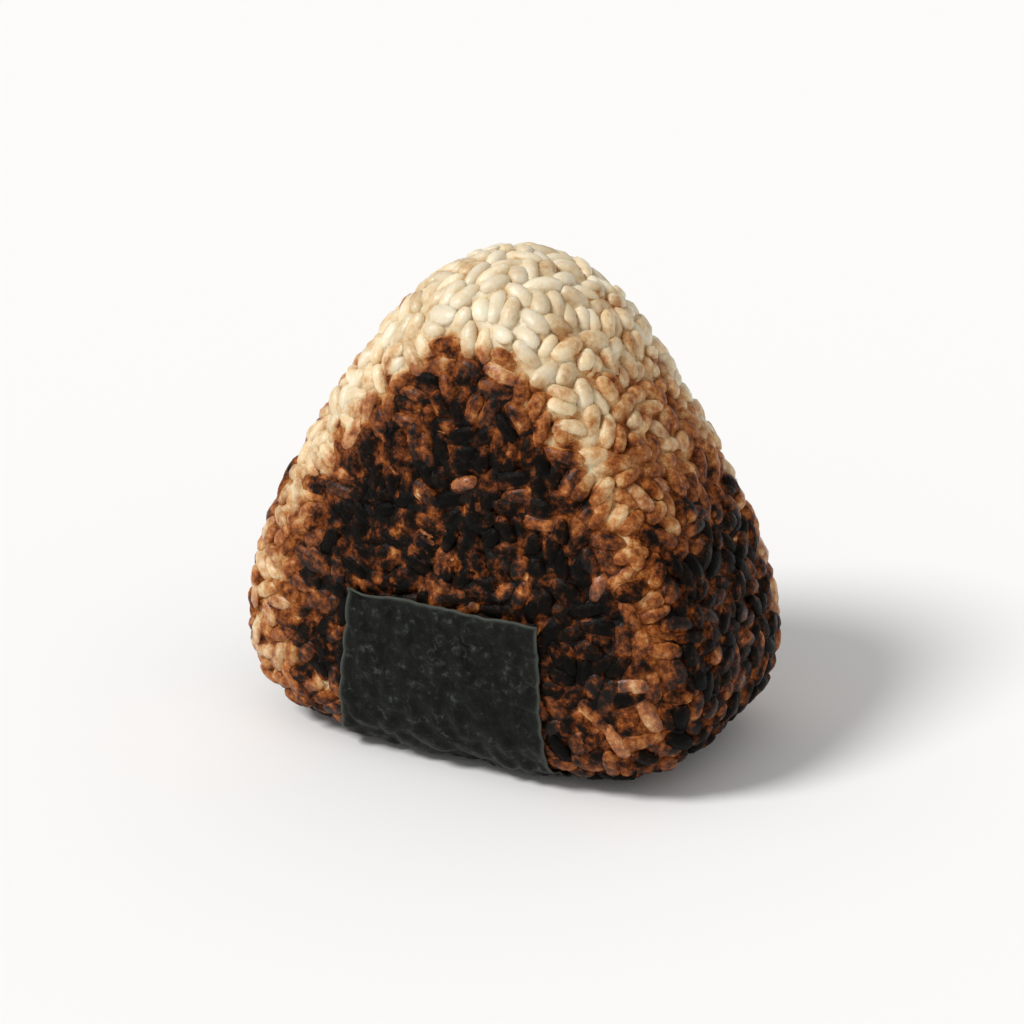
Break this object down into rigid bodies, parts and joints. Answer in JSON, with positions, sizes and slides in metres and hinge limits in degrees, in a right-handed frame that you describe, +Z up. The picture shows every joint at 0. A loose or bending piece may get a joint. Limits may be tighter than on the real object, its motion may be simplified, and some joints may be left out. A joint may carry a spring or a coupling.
{
  "type": "grilled rice ball",
  "caption": "Hand-pressed triangular grilled rice ball with charred faces, standing on its base, with a seaweed band laid round the foot to hold it by.",
  "frame": {"origin": "on the table, centred under the ball's box", "axes": "+Z up from the foot to the apex, front face towards -Y, width across the base corners along X"},
  "size_m": [0.0768, 0.0478, 0.0732],
  "materials": {
    "grilled_rice": "pressed cooked rice, soy-browned, charred on the faces and low on the sides",
    "nori_sheet": "pressed dried seaweed sheet, near black with grey-green fibres"
  },
  "bodies": {
    "root": {"rice": "grilled_rice", "nori": "nori_sheet"}
  },
  "joints": []
}
